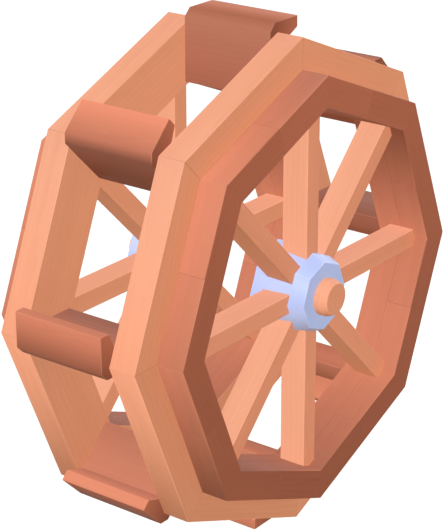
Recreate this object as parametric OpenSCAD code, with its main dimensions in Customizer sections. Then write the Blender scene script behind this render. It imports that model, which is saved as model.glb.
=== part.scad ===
// Water wheel: two octagonal timber rims on spokes and iron hubs, joined by lipped paddles.
// The axle lies along Y through the origin, and the wheel stands on two of its paddles.

/* [Rims] */
// Distance from the axle's centre line to an outer corner of the rim
rim_corner_r = 1500; // [1000:5:2000]
// Depth of the rim towards the axle, at a corner
rim_depth = 376; // [300:1:480]
// Clear width between the two rims
rim_gap = 605; // [400:5:900]
// Thickness of a felloe, along the axle
felloe_t = 173; // [120:1:240]
// Depth of the facing ring from the rim's inner edge, at a corner
facing_depth = 189; // [150:1:290]
// Thickness of the facing ring, along the axle
facing_t = 174; // [120:1:240]

/* [Spokes] */
// Width of a spoke, around the wheel
spoke_w = 115; // [70:1:125]
// Depth of a spoke, along the axle
spoke_d = 170; // [90:1:220]
// Thickness of the tongue that the felloes and the facing hold between them
tongue_t = 60; // [30:1:80]
// Length of the tongue beyond the inner corner of the rim
tongue_len = 110; // [50:1:120]

/* [Hubs] */
// Distance from the axle's centre line to a corner of the hub's inner end
hub_tail_r = 275; // [245:1:320]
// Distance that the hub's corners draw in from its inner end to where its nose begins
hub_flare = 31; // [0:1:45]
// Distance that the hub's corners draw in along the nose
nose_taper = 34; // [10:1:60]
// Length of the hub's tapered nose
hub_nose_len = 82; // [40:1:87]
// Distance that the hub's inner end stands back from the rim's inner face
hub_inset = 12; // [0:1:50]
// Thickness of the hub between its axle and the bottom of a spoke socket
socket_wall = 77; // [67:1:92]

/* [Axle stubs] */
// Radius of the journal outside the hub
journal_r = 111; // [100:1:130]
// Length of the round journal before its tapered end
journal_len = 40; // [20:1:80]
// Distance that the tapered end draws in from the journal
end_taper = 16; // [5:1:40]
// Length of the tapered end
axle_taper_len = 42; // [20:1:80]
// Height of the journal's shoulder against the hub's nose
axle_shoulder = 13; // [5:1:25]

/* [Paddles] */
// Thickness of a paddle board
paddle_t = 128; // [60:1:150]
// Distance that the outer end of a paddle stands out past the rim's corners
paddle_stand = 59; // [30:1:140]
// Reach of the lip beyond the face of the board
lip_reach = 130; // [60:1:180]
// Depth of the lip at its free edge
lip_h = 66; // [30:1:90]
// Rise of the lip's underside towards its free edge, in degrees
lip_slope = 26; // [10:1:35]
// Width of the bevel on the corner opposite the lip
tip_bevel = 44; // [10:1:60]
// Depth of the housing in each rim that takes a paddle's tongue
housing_depth = 30; // [15:1:60]
// Distance from each edge of the rim to the housing
housing_inset = 40; // [20:1:80]

/* [Fits] */
// Clearance round a tongue, a spoke end or an axle seat
fit_gap = 0.3; // [0.1:0.1:0.9]

/* [Hidden] */
sides = 8;
step = 360 / sides;
half = step / 2;
corner_fall = tan(half);

// Distances from the axle's centre line
rim_bore_r = rim_corner_r - rim_depth;
facing_corner_r = rim_bore_r + facing_depth;
paddle_tip_r = rim_corner_r + paddle_stand;
hub_shoulder_r = hub_tail_r - hub_flare;
hub_nose_r = hub_shoulder_r - nose_taper;
axle_seat_r = journal_r - axle_shoulder;
axle_end_r = journal_r - end_taper;
socket_floor_r = axle_seat_r + socket_wall;

// Places along the axle, measured outwards from the middle of the wheel
rim_in = rim_gap / 2;
rim_mid = rim_in + felloe_t;
rim_out = rim_mid + facing_t;
hub_in = rim_in + hub_inset;
axle_out = rim_out + journal_len + axle_taper_len;

// The paddle's profile, with x around the wheel and y away from the axle
paddle_half = paddle_t / 2;
lip_edge = paddle_half + lip_reach;
lip_root_r = paddle_tip_r - lip_h - lip_reach * tan(lip_slope);
bevel_edge = tip_bevel - paddle_half;
paddle_profile = [
    [-paddle_half, rim_bore_r],
    [paddle_half, rim_bore_r],
    [paddle_half, lip_root_r],
    [lip_edge, paddle_tip_r - lip_h],
    [lip_edge, paddle_tip_r],
    [bevel_edge, paddle_tip_r],
    [-paddle_half, paddle_tip_r - tip_bevel]
];

// The housing stays inside the rim's inner corner and its outer edge
housing_low_r = rim_bore_r + housing_inset;
housing_high_r = rim_corner_r - paddle_half * corner_fall - housing_inset;

// The turn that lays one paddle's lip edge and the next one's bevel edge on the same level
reach_x = (paddle_tip_r + bevel_edge) * sin(step) - lip_edge;
reach_y = (paddle_tip_r - bevel_edge) * cos(step) - paddle_tip_r;
stand_turn = 180 - atan2(-reach_y, reach_x);

timber = "#F2A680";
red_timber = "#B9694F";
iron = "#B6C0E6";

numbers = [1 : sides];
felloe_sets = ["odd", "even"];

// Turns what is drawn upright to a corner of the wheel, or to a fraction of a step past it
module at_corner(i) {
    rotate([0, stand_turn + step * i, 0]) children();
}

// Draws a flat outline upright and gives it a thickness, outwards along the axle from a place
module slab(from, thickness) {
    translate([0, -from, 0]) rotate([90, 0, 0]) linear_extrude(thickness) children();
}

// A box in a corner's own directions: around the wheel, outwards along the axle, away from it
module corner_box(width, from, to, low_r, high_r) {
    translate([-width / 2, -to, low_r]) cube([width, to - from, high_r - low_r]);
}

// The near half of the wheel is drawn, and the far half is its mirror image
module on_side(side) {
    if (side == "front") children();
    else mirror([0, 1, 0]) children();
}

// The space that a paddle's tongue takes in the felloes
module housing_cut() {
    corner_box(paddle_t + 2 * fit_gap, rim_in - fit_gap, rim_in + housing_depth,
               housing_low_r - fit_gap, housing_high_r + fit_gap);
}

// The space that a spoke's tongue takes, half in the felloes and half in the facing
module tongue_cut() {
    corner_box(spoke_w + 2 * fit_gap, rim_mid - tongue_t / 2, rim_mid + tongue_t / 2,
               socket_floor_r, rim_bore_r + tongue_len + fit_gap);
}

// One straight felloe, mitred at the corners on either side of it
module felloe(i) {
    color(timber)
    difference() {
        at_corner(i + 0.5) slab(rim_in, felloe_t) polygon([
            [-rim_corner_r * sin(half), rim_corner_r * cos(half)],
            [rim_corner_r * sin(half), rim_corner_r * cos(half)],
            [rim_bore_r * sin(half), rim_bore_r * cos(half)],
            [-rim_bore_r * sin(half), rim_bore_r * cos(half)]
        ]);
        for (end = [0, 1]) at_corner(i + end) {
            housing_cut();
            tongue_cut();
        }
    }
}

// Every second felloe of a rim: those in one set don't touch
module felloes(set) {
    for (i = [0 : 2 : sides - 2]) felloe(set == "odd" ? i : i + 1);
}

// One bent board of the facing ring: it spans a corner and ties the two felloes that meet there
module facing_board(i) {
    outer_flat = facing_corner_r * cos(half);
    inner_flat = rim_bore_r * cos(half);
    color(red_timber)
    at_corner(i) difference() {
        slab(rim_mid, facing_t) polygon([
            [-outer_flat * sin(half), outer_flat * cos(half)],
            [0, facing_corner_r],
            [outer_flat * sin(half), outer_flat * cos(half)],
            [inner_flat * sin(half), inner_flat * cos(half)],
            [0, rim_bore_r],
            [-inner_flat * sin(half), inner_flat * cos(half)]
        ]);
        tongue_cut();
    }
}

// Every second board of a facing ring
module facing(set) {
    for (i = [0 : 2 : sides - 2]) facing_board(set == "odd" ? i : i + 1);
}

// A spoke from its hub socket to the rim's inner corner, where its end is cut to the mitre
module spoke(i) {
    shoulder_r = rim_bore_r - spoke_w / 2 * corner_fall;
    color(timber)
    at_corner(i) union() {
        slab(rim_mid - spoke_d / 2, spoke_d) polygon([
            [-spoke_w / 2, socket_floor_r],
            [spoke_w / 2, socket_floor_r],
            [spoke_w / 2, shoulder_r],
            [0, rim_bore_r],
            [-spoke_w / 2, shoulder_r]
        ]);
        corner_box(spoke_w, rim_mid - tongue_t / 2 + fit_gap, rim_mid + tongue_t / 2 - fit_gap,
                   shoulder_r - spoke_w, rim_bore_r + tongue_len);
    }
}

// A paddle between the rims, with a tongue at each end that the rims house
module paddle(i) {
    color(red_timber)
    at_corner(i) union() {
        slab(-rim_in, rim_gap) polygon(paddle_profile);
        corner_box(paddle_t, -rim_in - housing_depth + fit_gap, rim_in + housing_depth - fit_gap,
                   housing_low_r, housing_high_r);
    }
}

// An eight-sided hub that narrows outwards to its nose: what four crossed bars of its outline share
module hub_blank() {
    tail_flat = hub_tail_r * cos(half);
    shoulder_flat = hub_shoulder_r * cos(half);
    nose_flat = hub_nose_r * cos(half);
    intersection_for (i = [0 : sides / 2 - 1])
        at_corner(i + 0.5) linear_extrude(4 * hub_tail_r, center = true) polygon([
            [-tail_flat, -hub_in],
            [tail_flat, -hub_in],
            [shoulder_flat, hub_nose_len - rim_out],
            [nose_flat, -rim_out],
            [-nose_flat, -rim_out],
            [-shoulder_flat, hub_nose_len - rim_out]
        ]);
}

// The hub with its axle bore and a socket at each corner for the end of a spoke
module hub() {
    color(iron)
    difference() {
        hub_blank();
        for (i = numbers) at_corner(i)
            corner_box(spoke_w + 2 * fit_gap, rim_mid - spoke_d / 2 - fit_gap,
                       rim_mid + spoke_d / 2 + fit_gap, socket_floor_r, 2 * hub_tail_r);
        rotate([90, 0, 0]) cylinder(h = 2 * rim_out, r = axle_seat_r + fit_gap, $fn = 96);
    }
}

// An axle stub: its seat in the hub, a shoulder on the hub's nose, the journal and its tapered end
module axle_stub() {
    color(timber)
    rotate([90, 0, 0]) rotate_extrude($fn = 96) polygon([
        [0, hub_in],
        [axle_seat_r, hub_in],
        [axle_seat_r, rim_out],
        [journal_r, rim_out],
        [journal_r, rim_out + journal_len],
        [axle_end_r, axle_out],
        [0, axle_out]
    ]);
}

for (side = ["front", "back"]) {
    for (set = felloe_sets) {
        on_side(side) felloes(set);
        on_side(side) facing(set);
    }
    for (i = numbers)
        on_side(side) spoke(i);
    on_side(side) hub();
    on_side(side) axle_stub();
}
for (i = numbers)
    paddle(i);
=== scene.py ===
"""Water wheel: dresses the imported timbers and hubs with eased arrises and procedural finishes."""
import math
import random
from typing import Callable, NamedTuple

import bmesh
import bpy
from mathutils import Matrix, Vector
from mathutils.bvhtree import BVHTree


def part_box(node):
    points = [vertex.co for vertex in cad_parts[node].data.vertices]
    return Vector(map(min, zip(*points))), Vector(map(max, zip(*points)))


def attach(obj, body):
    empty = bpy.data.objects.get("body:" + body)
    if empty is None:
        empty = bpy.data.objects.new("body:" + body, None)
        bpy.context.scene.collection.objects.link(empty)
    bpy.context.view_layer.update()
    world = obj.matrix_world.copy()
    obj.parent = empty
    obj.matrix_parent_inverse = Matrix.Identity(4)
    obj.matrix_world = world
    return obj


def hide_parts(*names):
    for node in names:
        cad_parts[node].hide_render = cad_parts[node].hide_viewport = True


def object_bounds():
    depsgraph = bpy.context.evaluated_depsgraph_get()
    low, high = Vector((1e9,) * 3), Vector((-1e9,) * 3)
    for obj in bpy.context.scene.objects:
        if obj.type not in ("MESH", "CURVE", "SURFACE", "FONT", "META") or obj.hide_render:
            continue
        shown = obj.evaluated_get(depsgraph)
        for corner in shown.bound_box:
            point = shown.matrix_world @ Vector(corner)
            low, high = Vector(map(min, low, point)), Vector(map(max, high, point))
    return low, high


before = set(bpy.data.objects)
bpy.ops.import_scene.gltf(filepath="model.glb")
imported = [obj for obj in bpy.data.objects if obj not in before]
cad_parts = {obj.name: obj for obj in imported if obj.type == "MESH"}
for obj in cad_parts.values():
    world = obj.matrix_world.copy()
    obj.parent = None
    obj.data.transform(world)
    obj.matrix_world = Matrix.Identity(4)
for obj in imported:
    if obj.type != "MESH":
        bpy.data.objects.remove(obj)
CAD_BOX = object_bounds()

# Widths of eased edges in metres: one in the open, and one beside a joint
ARRIS, SEAM = 0.0045, 0.0012

# Distances in metres: between nodes that touch, from an edge to where it is tested for a joint, between
# points that are one, and from a paddle's middle to past its board, where its lip begins
TOUCH, PROBE, WELD, LIP_START = 0.0015, 0.008, 0.00001, 0.1

# How far a board's pith may lie from the axle's place in it, in metres, and a log's share of that
PITH_ALONG, PITH_ACROSS, PITH_DEEP = 40.0, 0.25, (0.1, 0.25)
LOG_PITH = 0.1

# The stage: its sizes in metres, and its steps up the curve and round
FLOOR_R, COVE_R, WALL_H = 40.0, 12.0, 40.0
COVE_STEPS, STAGE_STEPS = 9, 96

# Angles in radians
FLAT = math.radians(0.5)
SHARP = math.radians(15)
HALF_STEP = math.pi / 8

# A face looks one way where this much of its normal points that way
BARELY, SLIGHTLY, PARTLY, MOSTLY, WHOLLY = 0.1, 0.25, 0.5, 0.7, 0.95

AXLE = Vector((0.0, 1.0, 0.0))
ACROSS = Vector((1.0, 0.0, 0.0))
UP = Vector((0.0, 0.0, 1.0))
SIDES = ("front", "back")
NUMBERS = range(1, 9)
BEVEL_SLOT = 2
random.seed(8)


class Graph:
    """A material's node graph, with a short call for each kind of node."""

    def __init__(self, name):
        self.material = bpy.data.materials.new(name)
        self.material.use_nodes = True
        self.tree = self.material.node_tree
        self.shader = self.tree.nodes["Principled BSDF"]

    def put(self, value, socket):
        """Links a socket's value, or sets it where it is the same all over."""
        if isinstance(value, bpy.types.NodeSocket):
            self.tree.links.new(value, socket)
        else:
            socket.default_value = value

    def node(self, kind, *values, **settings):
        made = self.tree.nodes.new(kind)
        for key, value in settings.items():
            setattr(made, key, value)
        for socket, value in zip(made.inputs, values):
            self.put(value, socket)
        return made

    def attribute(self, name, output="Fac"):
        return self.node("ShaderNodeAttribute", attribute_name=name).outputs[output]

    def stretch(self, vector, factors):
        return self.node("ShaderNodeVectorMath", vector, factors, operation="MULTIPLY").outputs[0]

    def noise(self, vector, scale, detail=3.0):
        made = self.node("ShaderNodeTexNoise")
        self.put(vector, made.inputs["Vector"])
        made.inputs["Scale"].default_value = scale
        made.inputs["Detail"].default_value = detail
        return made.outputs[0]

    def rings(self, vector, scale, distortion):
        """Growth rings about the first axis of a vector."""
        made = self.node("ShaderNodeTexWave", wave_type="RINGS", rings_direction="X", wave_profile="SAW")
        self.put(vector, made.inputs["Vector"])
        made.inputs["Scale"].default_value = scale
        made.inputs["Distortion"].default_value = distortion
        made.inputs["Detail"].default_value = 3.0
        made.inputs["Detail Scale"].default_value = 1.8
        return made.outputs["Fac"]

    def math(self, operation, a, b):
        return self.node("ShaderNodeMath", a, b, operation=operation).outputs[0]

    def fit(self, value, low, high, to_low, to_high):
        return self.node("ShaderNodeMapRange", value, low, high, to_low, to_high).outputs[0]

    def mix(self, factor, a, b, blend="MIX"):
        made = self.node("ShaderNodeMix", data_type="RGBA", blend_type=blend)
        self.put(factor, made.inputs[0])
        self.put(a, made.inputs[6])
        self.put(b, made.inputs[7])
        return made.outputs[2]

    def weighted(self, parts):
        """The sum of values that lie about a half, each with its weight, about a half again."""
        total = 0.5
        for value, weight in parts:
            above = self.math("SUBTRACT", value, 0.5)
            total = self.math("ADD", total, self.math("MULTIPLY", above, weight))
        return total

    def shaded_and_worn(self, colour, bare, rubbed):
        """A colour times the seam dirt and painted light and shade on the mesh, with the bare colour
        where its worn faces are rubbed.
        """
        shaded_colour = self.mix(1.0, colour, self.attribute("stain_and_shade", "Color"), "MULTIPLY")
        share = self.math("MULTIPLY", self.attribute("worn"), rubbed)
        return self.mix(share, shaded_colour, (*bare, 1.0))

    def bump(self, height, strength, distance):
        made = self.node("ShaderNodeBump")
        made.inputs["Strength"].default_value = strength
        made.inputs["Distance"].default_value = distance
        self.put(height, made.inputs["Height"])
        self.put(made.outputs[0], self.shader.inputs["Normal"])

    def finish(self, colour, roughness, specular):
        self.put(colour, self.shader.inputs["Base Color"])
        self.put(roughness, self.shader.inputs["Roughness"])
        self.shader.inputs["Specular IOR Level"].default_value = specular
        return self.material


# Wood: how its figure and fibres are drawn out along the grain, its growth rings, and each one's weight
# in the colour and the relief. A texture's range and the range of what follows from it stand in fours.
FIGURE_STRETCH, FIGURE_TONE = (0.9, 7.0, 7.0), 0.9
FIBRE_STRETCH, FIBRE_TONE, FIBRE_RELIEF = (5.0, 190.0, 190.0), 0.6, 0.7
RING_STRETCH, RING_SCALE, RING_WAVER = (0.12, 1.0, 1.0), 9.0, 4.0
RING_TONE, RING_RELIEF = 0.3, 0.3
BOARD_TONE = 0.3
FIGURE_TO_WEAR = (0.35, 0.65, 0.0, 0.5)
FIBRE_TO_ROUGHNESS = (0.3, 0.7, 0.78, 0.64)
WOOD_BUMP, WOOD_RELIEF, WOOD_SHINE = 0.25, 0.0012, 0.06


def wood(name, deep, pale, bare):
    """Planed timber: growth rings round each board's pith, fibres along it, and paler arrises."""
    g = Graph(name)
    grain = g.attribute("grain", "Vector")
    figure = g.noise(g.stretch(grain, FIGURE_STRETCH), scale=1.0, detail=2.0)
    fibre = g.noise(g.stretch(grain, FIBRE_STRETCH), scale=1.0, detail=3.0)
    ring = g.rings(g.stretch(grain, RING_STRETCH), RING_SCALE, RING_WAVER)
    tone = g.weighted([(figure, FIGURE_TONE), (ring, RING_TONE), (fibre, FIBRE_TONE),
                       (g.attribute("board"), BOARD_TONE)])
    colour = g.mix(tone, (*deep, 1.0), (*pale, 1.0))
    finished = g.shaded_and_worn(colour, bare, g.fit(figure, *FIGURE_TO_WEAR))
    g.bump(g.weighted([(fibre, FIBRE_RELIEF), (ring, RING_RELIEF)]), WOOD_BUMP, WOOD_RELIEF)
    return g.finish(finished, g.fit(fibre, *FIBRE_TO_ROUGHNESS), WOOD_SHINE)


# Painted iron: its clouds and its cast skin
CLOUD_SCALE, CLOUD_TONE = 4.0, 0.9
SKIN_SCALE, SKIN_TONE = 85.0, 0.5
CLOUD_TO_WEAR = (0.4, 0.6, 0.1, 0.7)
SKIN_TO_ROUGHNESS = (0.3, 0.7, 0.45, 0.62)
IRON_BUMP, IRON_RELIEF, IRON_SHINE = 0.3, 0.0015, 0.2


def painted_iron(name, deep, pale, bare):
    """Cast iron under pale paint, with a sand-cast skin and rubbed corners."""
    g = Graph(name)
    place = g.attribute("grain", "Vector")
    cloud = g.noise(place, CLOUD_SCALE, detail=3.0)
    skin = g.noise(place, SKIN_SCALE, detail=4.0)
    colour = g.mix(g.weighted([(cloud, CLOUD_TONE), (skin, SKIN_TONE)]), (*deep, 1.0), (*pale, 1.0))
    finished = g.shaded_and_worn(colour, bare, g.fit(cloud, *CLOUD_TO_WEAR))
    g.bump(skin, IRON_BUMP, IRON_RELIEF)
    return g.finish(finished, g.fit(skin, *SKIN_TO_ROUGHNESS), IRON_SHINE)


def grey(level):
    return (level, level, level, 1.0)


FLOOR_DARK, FLOOR_PALE, WALL_PALE = grey(0.57), grey(0.59), grey(0.95)
MOTTLE_SCALE = 0.4
PAINT_ROUGHNESS, PAINT_SHINE = 0.9, 0.1


def pale_paint(level):
    """Matt studio paint, paler up the wall, where less light falls on it."""
    g = Graph("pale_paint")
    place = g.node("ShaderNodeTexCoord").outputs["Object"]
    height = g.node("ShaderNodeSeparateXYZ", place).outputs[2]
    floor = g.mix(g.noise(place, MOTTLE_SCALE, detail=2.0), FLOOR_DARK, FLOOR_PALE)
    colour = g.mix(g.fit(height, level, level + COVE_R, 0.0, 1.0), floor, WALL_PALE)
    return g.finish(colour, PAINT_ROUGHNESS, PAINT_SHINE)


# Each material's deep, pale and bare colour
TIMBER = wood("oiled_timber", (0.44, 0.181, 0.110), (0.50, 0.214, 0.133), (0.54, 0.24, 0.155))
RED_TIMBER = wood("red_timber", (0.348, 0.115, 0.068), (0.402, 0.135, 0.080), (0.41, 0.15, 0.092))
IRON = painted_iron("painted_iron", (0.255, 0.295, 0.49), (0.295, 0.335, 0.56), (0.34, 0.38, 0.58))
MATERIALS = {"timber": TIMBER, "red_timber": RED_TIMBER, "hub_iron": IRON}


def tree_of(obj):
    mesh = obj.data
    return BVHTree.FromPolygons([v.co for v in mesh.vertices], [list(p.vertices) for p in mesh.polygons])


TREES = {name: tree_of(obj) for name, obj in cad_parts.items()}
BOXES = {name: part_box(name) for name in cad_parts}


def covered(point, own):
    """True where another node lies against this point."""
    for name, tree in TREES.items():
        low, high = BOXES[name]
        near = all(a - TOUCH < p < b + TOUCH for a, p, b in zip(low, point, high))
        if name != own and near and tree.find_nearest(point, TOUCH)[0] is not None:
            return True
    return False


def heading(points):
    """The direction from the axle in which points that lie evenly about it stand."""
    total = sum((Vector((p.x, 0.0, p.z)) for p in points), Vector())
    return total.normalized()


def around(outward):
    """The direction round the wheel, square to an outward one."""
    return Vector((outward.z, 0.0, -outward.x))


def turned(direction, angle):
    return Matrix.Rotation(angle, 3, "Y") @ direction


def turn_between(outward, point):
    """The angle about the axle from an outward direction to a point."""
    return math.atan2(point.dot(around(outward)), point.dot(outward))


def welded(node):
    """The node's solids as a mesh of whole flat faces."""
    bm = bmesh.new()
    bm.from_mesh(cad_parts[node].data)
    bmesh.ops.remove_doubles(bm, verts=bm.verts, dist=WELD)
    bmesh.ops.dissolve_limit(bm, angle_limit=FLAT, verts=bm.verts, edges=bm.edges)
    bm.normal_update()
    for elements in (bm.verts, bm.edges, bm.faces):
        elements.index_update()
    return bm


def in_order(elements):
    return sorted(elements, key=lambda element: element.index)


def islands_of(bm):
    """The vertices of each separate solid."""
    left, found = set(bm.verts), []
    while left:
        part, reached = set(), [left.pop()]
        while reached:
            vert = reached.pop()
            if vert not in part:
                part.add(vert)
                reached += [e.other_vert(vert) for e in vert.link_edges]
        left -= part
        found.append(in_order(part))
    return sorted(found, key=lambda part: part[0].index)


def split_at_corners(bm):
    """Cuts a ring of bent boards at its corner planes, so that each arm has its own grain."""
    for part in islands_of(bm):
        corner = heading([v.co for v in part])
        edges = in_order({e for v in part for e in v.link_edges})
        faces = in_order({f for v in part for f in v.link_faces})
        bmesh.ops.bisect_plane(bm, geom=part + edges + faces, dist=WELD, plane_co=(0, 0, 0),
                               plane_no=around(corner))


def edge_share(edge, own):
    """How much of the arris an edge gets: all where it is open, a seam's share where it borders a joint."""
    if len(edge.link_faces) != 2 or edge.calc_face_angle_signed(0.0) < SHARP:
        return 0.0
    middle = (edge.verts[0].co + edge.verts[1].co) / 2
    hidden = 0
    for loop in edge.link_loops:
        along = (loop.link_loop_next.vert.co - loop.vert.co).normalized()
        inward = loop.face.normal.cross(along)
        hidden += covered(middle + inward * PROBE + loop.face.normal * TOUCH / 2, own)
    return (1.0, SEAM / ARRIS, 0.0)[hidden]


def weighted_base(node, bent):
    """The node's flat faces, with each edge's share of the arris as its bevel weight."""
    bm = welded(node)
    if bent:
        split_at_corners(bm)
    layer = bm.edges.layers.float.new("bevel_weight_edge")
    for edge in bm.edges:
        edge[layer] = edge_share(edge, node)
        edge.smooth = edge[layer] > 0.0 or abs(edge.calc_face_angle_signed(0.0)) < SHARP
    for face in bm.faces:
        face.smooth = True
    base = bpy.data.meshes.new(node + "_base")
    bm.to_mesh(base)
    bm.free()
    return base


def eased(node, bent):
    """A new mesh of the node's solids with eased arrises, and which of its faces ease them."""
    base = weighted_base(node, bent)
    for _ in range(BEVEL_SLOT + 1):
        base.materials.append(None)
    maker = bpy.data.objects.new(node + "_base", base)
    bpy.context.scene.collection.objects.link(maker)
    bevel = maker.modifiers.new("arris", "BEVEL")
    bevel.limit_method = "WEIGHT"
    bevel.width = ARRIS
    bevel.segments = 2
    bevel.material = BEVEL_SLOT
    maker.modifiers.new("weld", "WELD").merge_threshold = WELD
    level = maker.modifiers.new("level", "WEIGHTED_NORMAL")
    level.weight = 90
    level.keep_sharp = True
    mesh = bpy.data.meshes.new_from_object(maker.evaluated_get(bpy.context.evaluated_depsgraph_get()))
    bpy.data.objects.remove(maker)
    bpy.data.meshes.remove(base)
    mesh.name = node
    bevels = {p.index for p in mesh.polygons if p.material_index == BEVEL_SLOT}
    mesh.materials.clear()
    return mesh, bevels


def solids_of(mesh):
    """The polygons of each separate solid, in the order of their first corner."""
    owner = list(range(len(mesh.vertices)))

    def root(i):
        while owner[i] != i:
            owner[i] = owner[owner[i]]
            i = owner[i]
        return i

    for edge in mesh.edges:
        a, b = root(edge.vertices[0]), root(edge.vertices[1])
        owner[max(a, b)] = min(a, b)
    groups = {}
    for polygon in mesh.polygons:
        groups.setdefault(root(polygon.vertices[0]), []).append(polygon)
    return [groups[k] for k in sorted(groups)]


def is_narrow(mesh, polygon):
    """True for the strips that ease an edge at a joint."""
    points = [mesh.vertices[i].co for i in polygon.vertices]
    longest = max((a - b).length for a in points for b in points)
    return polygon.area < longest * SEAM


# Each kind of node has its own three directions, the first along the grain. Where the shading runs round
# the wheel, the direction in which the middle of the side stands comes before them.

def felloe_axes(outward, centre):
    return outward, (around(outward), outward, AXLE)


def facing_axes(outward, centre):
    arm = turned(outward, math.copysign(HALF_STEP, centre.dot(around(outward))))
    return arm, (around(arm), arm, AXLE)


def spoke_axes(outward, centre):
    return None, (outward, around(outward), AXLE)


def paddle_axes(outward, centre):
    return None, (AXLE, outward, around(outward))


def stub_axes(outward, centre):
    return None, (AXLE, ACROSS, UP)


def hub_axes(outward, centre):
    side = math.floor(turn_between(outward, centre) / (2 * HALF_STEP))
    return turned(outward, (2 * side + 1) * HALF_STEP), (AXLE, ACROSS, UP)


# A stain multiplies a material's colour. Painted light and shade: red timber that faces the light is
# painted paler, up to white, and red timber turned from it takes a painted shade.
WHITE = Vector((1.0, 1.0, 1.0))
SHADE_TINT = Vector((0.57, 0.56, 0.575))
LIGHT_DIRECTION = Vector((-0.5, 0.0, 0.866))
LIGHT_SHARE_FROM, LIGHT_SHARE_TO = 0.40, 0.98
SEAM_DIRT = 0.8

# Painted light: how much paler the flat faces of the rims are painted towards one side of the wheel
OUTER_LIGHT_GRADIENT = Vector((0.069, 0.0, 0.038))
INNER_LIGHT_GRADIENT = Vector((0.034, 0.0, 0.073))
RED_LIGHT_GRADIENT = Vector((0.067, 0.0, 0.146))

# Light timber, painted light and shade: tints on its flat faces, and on its sides by how they face the
# light
# Painted light: a cooler tint on faces that look into the wheel, against the red light bounced between the
# parts
INWARD_TINT = Vector((0.94, 1.02, 1.03))
FELLOE_FACE = Vector((0.995, 0.993, 0.95))
SPOKE_FACE = Vector((1.03, 0.985, 0.985))
# Painted light and shade on the sides of felloes, by how far they face the light
FELLOE_LIGHT_DIRECTION = Vector((-0.588, 0.0, 0.809))
FULL_LIGHT_TINT, FULL_LIGHT_FROM = Vector((0.97, 0.98, 0.99)), 0.8
HALF_LIGHT_TINT, HALF_LIGHT_FROM, HALF_LIGHT_TO = Vector((1.09, 1.03, 0.99)), 0.2, 0.7
LOW_LIGHT_TINT = Vector((0.98, 0.945, 0.93))
# Painted light and shade on the sides of spokes: cooler towards the light and underneath, paler looking up
# and towards minus x
KEY_LIGHT_TINT, KEY_LIGHT_FROM = Vector((0.95, 1.0, 1.01)), 0.8
UPPER_SIDE_LIGHT = Vector((1.03, 1.08, 1.1))
UNDERSIDE_SHADE = Vector((0.92, 1.0, 1.03))

# Red rims, painted light and shade: a darker tint on their flat faces, a painted shade on sides turned
# from the light, and more shade in a bore that faces up
RED_FACE = Vector((0.615, 0.57, 0.555))
RIM_SHADE, RIM_FROM = Vector((0.52, 0.53, 0.56)), 0.33
BORE_SHADE, BORE_SHADE_FROM, BORE_SHADE_TO = 0.24, 0.65, 1.05

# Hubs, painted light and shade: a cooler tint on their ends and a darker one on their noses
HUB_END_TINT = Vector((0.97, 1.05, 1.11))
HUB_NOSE_SHADE = Vector((0.92, 0.92, 0.94))

# Paddles, painted light and shade: the tip's colour where no light is painted, the range over which an
# inner side gets painted light as it looks up, and the end faces' painted shade, darker by the trailing
# side and paler by the lip
TIP_SHADE = Vector((0.49, 0.45, 0.45))
INNER_FROM, INNER_TO = 0.35, 1.2
END_DARK, END_PALE = 0.64, 1.28


def smooth_step(value, low, high):
    share = min(1.0, max(0.0, (value - low) / (high - low)))
    return share * share * (3.0 - 2.0 * share)


def painted_light_share(normal):
    """How much painted light a face with this normal gets, by how far it faces the light."""
    return smooth_step(normal.dot(LIGHT_DIRECTION), LIGHT_SHARE_FROM, LIGHT_SHARE_TO)


class Spot(NamedTuple):
    """A corner of a face: its shading normal, its face's normal and its own place in the node's
    directions, its turn from the middle of its side of the wheel, and the point itself."""
    normal: Vector
    flat: Vector
    place: Vector
    turn: float
    point: Vector


def no_stain(spot):
    return WHITE


def hub_shading(spot):
    """A hub's painted light and shade: cooler on its two ends and darker on its nose."""
    if abs(spot.flat.x) > MOSTLY:
        return HUB_END_TINT
    return HUB_NOSE_SHADE if abs(spot.flat.x) > SLIGHTLY else WHITE


def face_shading(spot, stain_and_shade, light_gradient):
    """The painted light and shade on the flat face of a rim: a tint, painted paler towards one side of the
    wheel.
    """
    return stain_and_shade * (1.0 + light_gradient.dot(heading([spot.point])))


def looks_in(spot):
    """True on the faces of rims and spokes that look into the wheel."""
    return spot.flat.z * spot.point.y < 0.0


def felloe_shading(spot):
    """A felloe's painted light and shade: tints on its flat faces, and on its sides by how far they face
    the light, warmest where they half face it.
    """
    if abs(spot.flat.z) > MOSTLY:
        stain_and_shade, light_gradient = (INWARD_TINT, INNER_LIGHT_GRADIENT) if looks_in(spot) else (FELLOE_FACE, OUTER_LIGHT_GRADIENT)
        return face_shading(spot, stain_and_shade, light_gradient)
    facing_light = spot.normal.dot(FELLOE_LIGHT_DIRECTION)
    half_lit = LOW_LIGHT_TINT.lerp(HALF_LIGHT_TINT, smooth_step(facing_light, HALF_LIGHT_FROM, HALF_LIGHT_TO))
    return half_lit.lerp(FULL_LIGHT_TINT, smooth_step(facing_light, FULL_LIGHT_FROM, 1.0))


def spoke_shading(spot):
    """A spoke's painted light and shade: tints on its flat faces, and sides cooler towards the light and
    underneath, and paler where they look up and towards minus x.
    """
    if abs(spot.flat.z) > MOSTLY:
        return INWARD_TINT if looks_in(spot) else SPOKE_FACE
    key_lit = smooth_step(spot.normal.dot(LIGHT_DIRECTION), KEY_LIGHT_FROM, 1.0)
    over = smooth_step(spot.normal.z, 0.0, SLIGHTLY)
    under = smooth_step(-spot.normal.z, 0.0, SLIGHTLY)
    side_lit = over * smooth_step(-spot.normal.x, PARTLY, WHOLLY)
    return WHITE.lerp(KEY_LIGHT_TINT, key_lit).lerp(UPPER_SIDE_LIGHT, side_lit).lerp(UNDERSIDE_SHADE, under)


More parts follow.
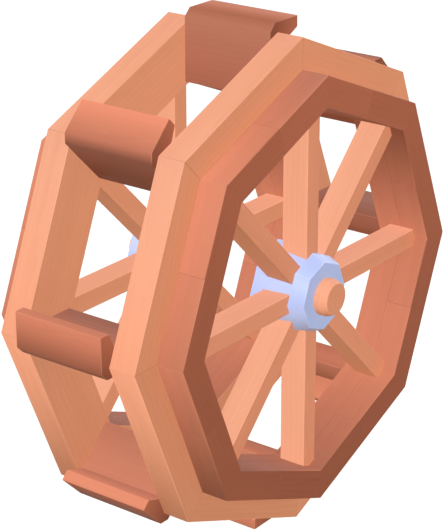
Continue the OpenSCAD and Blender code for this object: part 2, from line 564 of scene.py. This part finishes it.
def corner_shading(normal, in_bore):
    """The red rim's painted light and shade where a side meets the next: paler where it faces the light,
    and darker in a bore that faces up.
    """
    painted_shade = BORE_SHADE * smooth_step(normal.z, BORE_SHADE_FROM, BORE_SHADE_TO) if in_bore else 0.0
    painted_light = smooth_step(normal.dot(LIGHT_DIRECTION), RIM_FROM, LIGHT_SHARE_TO)
    return RIM_SHADE.lerp(WHITE, painted_light) * (1.0 - painted_shade)


def rim_shading(spot):
    """A rim's painted light and shade, which changes evenly along a side from one corner to the next."""
    if abs(spot.flat.z) > MOSTLY:
        return face_shading(spot, RED_FACE, RED_LIGHT_GRADIENT)
    in_bore = spot.flat.y < -MOSTLY
    low, high = [corner_shading(turned(spot.normal, end - spot.turn), in_bore)
                 for end in (-HALF_STEP, HALF_STEP)]
    return low.lerp(high, spot.turn / HALF_STEP / 2 + 0.5)


class Side(NamedTuple):
    """A long side of a paddle, from one of its corners to the other: which corners these are, the turn of
    its shading and the brightness of its painted light and shade at each, its painted tint, the least
    painted light on it, how its painted light follows from its normal, and its colour where no light is
    painted. Turns are in degrees, from outward towards leading."""
    ends: tuple
    turns: tuple
    shine: tuple
    tint: Vector = WHITE
    least: float = 0.0
    painted_light: Callable = painted_light_share
    shade: Vector = SHADE_TINT


def skyward(normal):
    """How much painted light a face under the rims gets, by how it looks up."""
    return smooth_step(normal.z, INNER_FROM, INNER_TO)


# The painted light and shade on each long side of a paddle
PADDLE_SIDES = {
    "tip": Side(("bevel_top", "lip"), turns=(-27, 20), shine=(0.77, 1.26),
                tint=Vector((1.0, 0.955, 0.95)), shade=TIP_SHADE),
    "lip_end": Side(("lip_low", "lip"), turns=(100, 70), shine=(1.06, 1.06), least=0.5),
    "underside": Side(("root", "lip_low"), turns=(154, 130), shine=(0.92, 1.15),
                      tint=Vector((1.0, 1.03, 1.03)), least=0.5),
    "leading": Side(("leading_inner", "root"), turns=(132, 90), shine=(0.99, 1.04),
                    tint=Vector((0.78, 0.83, 0.86)), least=0.55),
    "inner": Side(("trailing_inner", "leading_inner"), turns=(215, 145), shine=(0.75, 0.84), painted_light=skyward),
    "trailing": Side(("trailing_inner", "bevel_low"), turns=(-100, -67.5), shine=(0.68, 0.78),
                tint=Vector((0.92, 0.96, 1.01))),
}

# The sides whose shading runs on over the corners between them
SMOOTH_SIDES = ("trailing", "bevel", "tip")


def side_of(flat, place):
    """The name of the long side of a paddle that a face belongs to."""
    outward, leading = flat.y, flat.z
    if leading < -PARTLY:
        return "bevel" if outward > PARTLY else "trailing"
    if outward < -PARTLY:
        return "inner" if outward < -WHOLLY else "underside"
    if outward > MOSTLY:
        return "tip"
    return "lip_end" if place.z > LIP_START else "leading"


class Corner(NamedTuple):
    """A long corner of a paddle as one side meets it: its place, the shading's turn and the painted shade.
    """
    place: Vector
    turn: float
    stain_and_shade: Vector


def corner_places(mesh, own):
    """Where a paddle's long corners lie, in its own directions."""
    near = ARRIS / 10
    places = [(v.co.dot(own[1]), v.co.dot(own[2])) for v in mesh.vertices]
    tip = max(r for r, u in places)
    inner = min(r for r, u in places)
    lip = max(u for r, u in places)
    trailing = min(u for r, u in places)
    found = {
        "bevel_top": (tip, min(u for r, u in places if tip - r < near)),
        "bevel_low": (max(r for r, u in places if u - trailing < near), trailing),
        "trailing_inner": (inner, trailing),
        "leading_inner": (inner, -trailing),
        "root": (max(r for r, u in places if abs(u + trailing) < near), -trailing),
        "lip_low": (min(r for r, u in places if lip - u < near), lip),
        "lip": (tip, lip),
    }
    return {name: Vector((0.0, r, u)) for name, (r, u) in found.items()}


def paddle_corners(mesh, own):
    """The two corners of each long side of a paddle, by the side's name."""
    places = corner_places(mesh, own)
    sides = {}
    for name, side in PADDLE_SIDES.items():
        middle = math.radians(sum(side.turns) / 2)
        painted_light = max(side.least, side.painted_light(own[1] * math.cos(middle) + own[2] * math.sin(middle)))
        stain_and_shade = side.shade.lerp(WHITE, painted_light) * side.tint
        sides[name] = [Corner(places[end], math.radians(turn), stain_and_shade * shine)
                       for end, turn, shine in zip(side.ends, side.turns, side.shine)]
    sides["bevel"] = [sides["trailing"][1], sides["tip"][0]]
    return sides


def paddle_shade(spot, own, sides, easing):
    """The normal and the painted light and shade at a point of a paddle."""
    if abs(spot.flat.x) > MOSTLY:
        # End faces: painted shade, darker by the trailing side and paler by the lip
        low, high = sides["trailing"][0].place.z, sides["tip"][1].place.z
        share = (spot.place.z - low) / (high - low)
        return spot.normal, SHADE_TINT * (END_DARK + (END_PALE - END_DARK) * share)
    name = side_of(spot.flat, spot.place)
    low, high = sides[name]
    run = (high.place - low.place) * Vector((0.0, 1.0, 1.0))
    share = min(1.0, max(0.0, (spot.place - low.place).dot(run) / run.length_squared))
    stain_and_shade = low.stain_and_shade.lerp(high.stain_and_shade, share)
    if easing and name not in SMOOTH_SIDES:
        return spot.normal, stain_and_shade
    turn = low.turn + (high.turn - low.turn) * share
    return own[1] * math.cos(turn) + own[2] * math.sin(turn), stain_and_shade


class Kind(NamedTuple):
    """How one kind of node is dressed: its slot and directions, its painted light and shade and its bore's
    where that is red, and whether it is bent at the corners, turned in a lathe or shaded by its sides as a
    paddle is."""
    slot: str
    axes: Callable
    stain_and_shade: Callable = no_stain
    bore_shading: Callable = None
    bent: bool = False
    turned_round: bool = False
    by_sides: bool = False


FELLOES = Kind("timber", felloe_axes, felloe_shading, bore_shading=rim_shading)
FACING = Kind("red_timber", facing_axes, rim_shading, bent=True)
SPOKE = Kind("timber", spoke_axes, spoke_shading)
HUB = Kind("hub_iron", hub_axes, hub_shading)
STUB = Kind("timber", stub_axes, turned_round=True)
PADDLE = Kind("red_timber", paddle_axes, by_sides=True)


class Board(NamedTuple):
    """One solid of a node: where it stands about the axle, its pith and its shade."""
    outward: Vector
    pith: Vector
    shade: float


class Coat:
    """What a dressed mesh carries: a normal, a place in the grain and a colour for dark seams and painted
    light and shade at each corner of its faces, and each face's wear and its board's shade."""

    def __init__(self, mesh, bevels):
        self.mesh = mesh
        self.bevels = bevels
        self.normals = [Vector(n.vector) for n in mesh.corner_normals]
        self.grain = [Vector() for _ in mesh.loops]
        self.stain_and_shade = [WHITE for _ in mesh.loops]
        self.worn = [0.0 for _ in mesh.polygons]
        self.board = [0.0 for _ in mesh.polygons]

    def layer(self, name, kind, domain, field, values):
        self.mesh.attributes.new(name, kind, domain).data.foreach_set(field, values)

    def store(self):
        """Writes it all to the mesh, for the materials to read."""
        self.mesh.normals_split_custom_set([tuple(n) for n in self.normals])
        grain = [part for place in self.grain for part in place]
        stain_and_shade = [part for colour in self.stain_and_shade for part in (*colour, 1.0)]
        self.layer("grain", "FLOAT_VECTOR", "CORNER", "vector", grain)
        self.layer("stain_and_shade", "FLOAT_COLOR", "CORNER", "color", stain_and_shade)
        self.layer("worn", "FLOAT", "FACE", "value", self.worn)
        self.layer("board", "FLOAT", "FACE", "value", self.board)


def coat_face(coat, polygon, kind, board, sides):
    """Fills in a coat on one face. Arrises in a paddle's painted shade get no wear, so they stay dark."""
    side_middle, own = kind.axes(board.outward, polygon.center)
    flat = Vector([polygon.normal.dot(axis) for axis in own])
    easing = polygon.index in coat.bevels
    seam = easing and is_narrow(coat.mesh, polygon)
    # Faces turned to a paddle's trailing side, where shade is painted
    painted_shade = sides is not None and flat.z < -BARELY and abs(flat.x) < SLIGHTLY
    coat.worn[polygon.index] = float(easing and not seam and not painted_shade)
    coat.board[polygon.index] = board.shade
    in_bore = kind.bore_shading is not None and flat.y < -(SLIGHTLY if seam else WHOLLY)
    polygon.material_index = int(in_bore)
    shading_of = kind.bore_shading if in_bore else kind.stain_and_shade
    for corner in polygon.loop_indices:
        point = coat.mesh.vertices[coat.mesh.loops[corner].vertex_index].co
        place = Vector([point.dot(axis) for axis in own])
        turn = turn_between(side_middle, point) if side_middle else 0.0
        normal = coat.normals[corner] if easing or kind.turned_round else polygon.normal
        spot = Spot(turned(normal, turn), flat, place, turn, point)
        if sides:
            normal, stain_and_shade = paddle_shade(spot, own, sides, easing)
        else:
            normal, stain_and_shade = spot.normal, shading_of(spot)
        coat.normals[corner] = normal
        coat.grain[corner] = place + board.pith
        coat.stain_and_shade[corner] = stain_and_shade * SEAM_DIRT if seam else stain_and_shade


def random_pith(kind):
    """Where a board's pith lies from the axle's place in it: near that, for a stub turned from a log."""
    along = random.uniform(0.0, PITH_ALONG)
    across = random.uniform(-PITH_ACROSS, PITH_ACROSS)
    deep = random.uniform(*PITH_DEEP)
    share = LOG_PITH if kind.turned_round else 1.0
    return Vector((along, across * share, deep * share))


def dress(node, kind, outward=None):
    """Makes the piece that stands for a node, with grain, stain, painted shade and wear stored on its mesh.
    """
    mesh, bevels = eased(node, kind.bent)
    mesh.materials.append(MATERIALS[kind.slot])
    if kind.bore_shading:
        mesh.materials.append(RED_TIMBER)
    coat = Coat(mesh, bevels)
    sides = paddle_corners(mesh, kind.axes(outward, outward)[1]) if kind.by_sides else None
    for solid in solids_of(mesh):
        points = {i: mesh.vertices[i].co for p in solid for i in p.vertices}
        board = Board(outward or heading(points.values()), random_pith(kind), random.random())
        for polygon in solid:
            coat_face(coat, polygon, kind, board, sides)
    coat.store()
    piece = bpy.data.objects.new(node + "_dressed", mesh)
    bpy.context.scene.collection.objects.link(piece)
    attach(piece, "root")
    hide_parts(node)


def corner_heading(i):
    """The direction of the wheel's corner that a spoke points to."""
    bm = welded(f"front_spoke_{i}")
    outward = heading([v.co for v in bm.verts])
    bm.free()
    return outward


def make_wheel():
    outward = {i: corner_heading(i) for i in NUMBERS}
    for side in SIDES:
        for half in ("odd", "even"):
            dress(f"{side}_felloes_{half}", FELLOES)
            dress(f"{side}_facing_{half}", FACING)
        for i in NUMBERS:
            dress(f"{side}_spoke_{i}", SPOKE, outward[i])
        dress(f"{side}_hub", HUB, outward[1])
        dress(f"{side}_axle_stub", STUB, outward[1])
    for i in NUMBERS:
        dress(f"paddle_{i}", PADDLE, outward[i])


def make_stage():
    """A round floor that curves up into a wall, so that the wheel has a pale ground from every side."""
    level = CAD_BOX[0].z
    rise = [math.pi / 2 * i / COVE_STEPS for i in range(COVE_STEPS + 1)]
    cove = [(FLOOR_R + COVE_R * math.sin(a), COVE_R * (1.0 - math.cos(a))) for a in rise]
    profile = [(0.0, 0.0), *cove, (FLOOR_R + COVE_R, WALL_H)]
    bm = bmesh.new()
    verts = [bm.verts.new((r, 0.0, level + z)) for r, z in profile]
    edges = [bm.edges.new(pair) for pair in zip(verts, verts[1:])]
    bmesh.ops.spin(bm, geom=verts + edges, axis=UP, cent=(0, 0, 0), angle=2 * math.pi, steps=STAGE_STEPS)
    bmesh.ops.remove_doubles(bm, verts=bm.verts, dist=WELD)
    for face in bm.faces:
        face.smooth = True
    mesh = bpy.data.meshes.new("floor")
    bm.to_mesh(mesh)
    bm.free()
    mesh.materials.append(pale_paint(level))
    floor = bpy.data.objects.new("floor", mesh)
    bpy.context.scene.collection.objects.link(floor)
    floor.visible_diffuse = False


class Lamp(NamedTuple):
    """A soft lamp far off: the direction it shines from, its strength and colour, and its spread."""
    name: str
    source: tuple
    strength: float
    colour: tuple
    spread: float


# Spreads are in degrees
SKY = 0.25
LAMPS = (
    Lamp("key", (-0.479, -0.299, 0.826), 1.87, (0.93, 1.0, 1.0), 20),
    Lamp("low_fill", (-0.7, 0.0, -0.7), 0.52, (1.0, 0.93, 0.64), 40),
    Lamp("front_fill", (0.0, -1.0, 0.0), 0.46, (1.0, 0.78, 0.44), 40),
    Lamp("right_fill", (1.0, 0.0, 0.0), 1.08, (0.84, 0.95, 1.0), 40),
    Lamp("back_fill", (0.0, 1.0, 0.0), 0.97, (1.0, 0.97, 0.85), 40),
)


def make_lamp(lamp):
    light = bpy.data.lights.new(lamp.name, "SUN")
    light.energy = lamp.strength * math.pi
    light.color = lamp.colour
    light.angle = math.radians(lamp.spread)
    light.use_shadow = False
    obj = bpy.data.objects.new(lamp.name, light)
    obj.rotation_euler = Vector(lamp.source).to_track_quat("Z", "Y").to_euler()
    bpy.context.scene.collection.objects.link(obj)


def make_light():
    world = bpy.data.worlds.new("studio")
    world.use_nodes = True
    sky = world.node_tree.nodes["Background"]
    sky.inputs["Color"].default_value = (1.0, 1.0, 1.0, 1.0)
    sky.inputs["Strength"].default_value = SKY
    bpy.context.scene.world = world
    for lamp in LAMPS:
        make_lamp(lamp)


# The camera, in degrees and metres, with its lens in millimetres
AZIMUTH, ELEVATION, ROLL = -45.980, 35.908, -14.013
TARGET, DISTANCE = Vector((-0.023, 0.066, 0.042)), 11.27
LENS, SENSOR = 129.0, 36.0


def make_camera():
    azimuth, elevation = math.radians(AZIMUTH), math.radians(ELEVATION)
    back = Vector((math.sin(azimuth) * math.cos(elevation), -math.cos(azimuth) * math.cos(elevation),
                   math.sin(elevation)))
    data = bpy.data.cameras.new("camera")
    data.lens = LENS
    data.sensor_width = SENSOR
    data.clip_end = 4 * FLOOR_R
    camera = bpy.data.objects.new("camera", data)
    bpy.context.scene.collection.objects.link(camera)
    level = (-back).to_track_quat("-Z", "Y").to_matrix()
    camera.matrix_world = (level @ Matrix.Rotation(math.radians(ROLL), 3, "Z")).to_4x4()
    camera.location = TARGET + back * DISTANCE
    bpy.context.scene.camera = camera


make_wheel()
make_stage()
make_light()
make_camera()
bpy.context.scene.view_settings.view_transform = "Standard"
